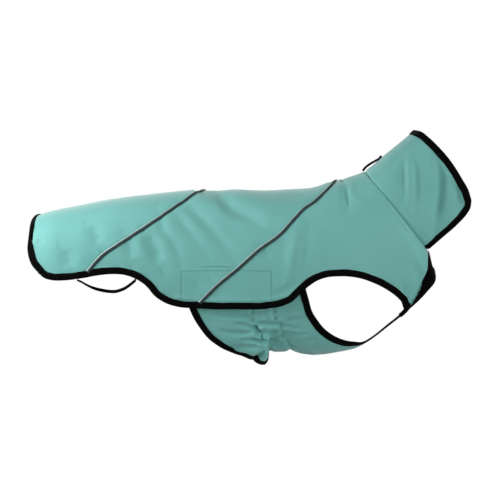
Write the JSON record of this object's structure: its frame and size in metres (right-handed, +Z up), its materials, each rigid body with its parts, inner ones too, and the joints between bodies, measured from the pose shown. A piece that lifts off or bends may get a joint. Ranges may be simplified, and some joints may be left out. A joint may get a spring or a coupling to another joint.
{
  "type": "dog coat",
  "caption": "Filled-out softshell dog coat with a stand collar, flanks cut round the hind legs, piped seams, bound edges, a gathered belly panel and hind-leg elastics.",
  "frame": {"origin": "on the cloth's inner face at the spine, halfway along the back, where the wearer's back carries the coat", "axes": "+X towards the collar, +Z up out of the wearer's back, -Y towards the coat's right side"},
  "size_m": [0.6443, 0.1814, 0.3382],
  "materials": {
    "softshell": "smooth bonded softshell, aqua green, matt",
    "black_tape": "woven black bias tape and elastic, matt",
    "black_stretch": "black stretch knit, matt",
    "reflective_piping": "grey reflective piping with a pale cord edge",
    "hook_tape": "sewn hook-and-loop tape in the coat's colour"
  },
  "bodies": {
    "root": {"rump_panel": "softshell", "middle_panel": "softshell", "shoulder_panel": "softshell", "collar": "softshell", "belly_panel": "softshell", "chest_insert": "black_stretch", "hem_binding": "black_tape", "collar_binding": "black_tape", "belly_binding": "black_tape", "leg_binding_right": "black_tape", "leg_binding_left": "black_tape", "rear_piping": "reflective_piping", "front_piping": "reflective_piping", "hook_patch_right": "hook_tape", "hook_patch_left": "hook_tape", "leg_elastic_right": "black_tape", "leg_elastic_left": "black_tape", "nape_loop": "black_tape"}
  },
  "joints": []
}
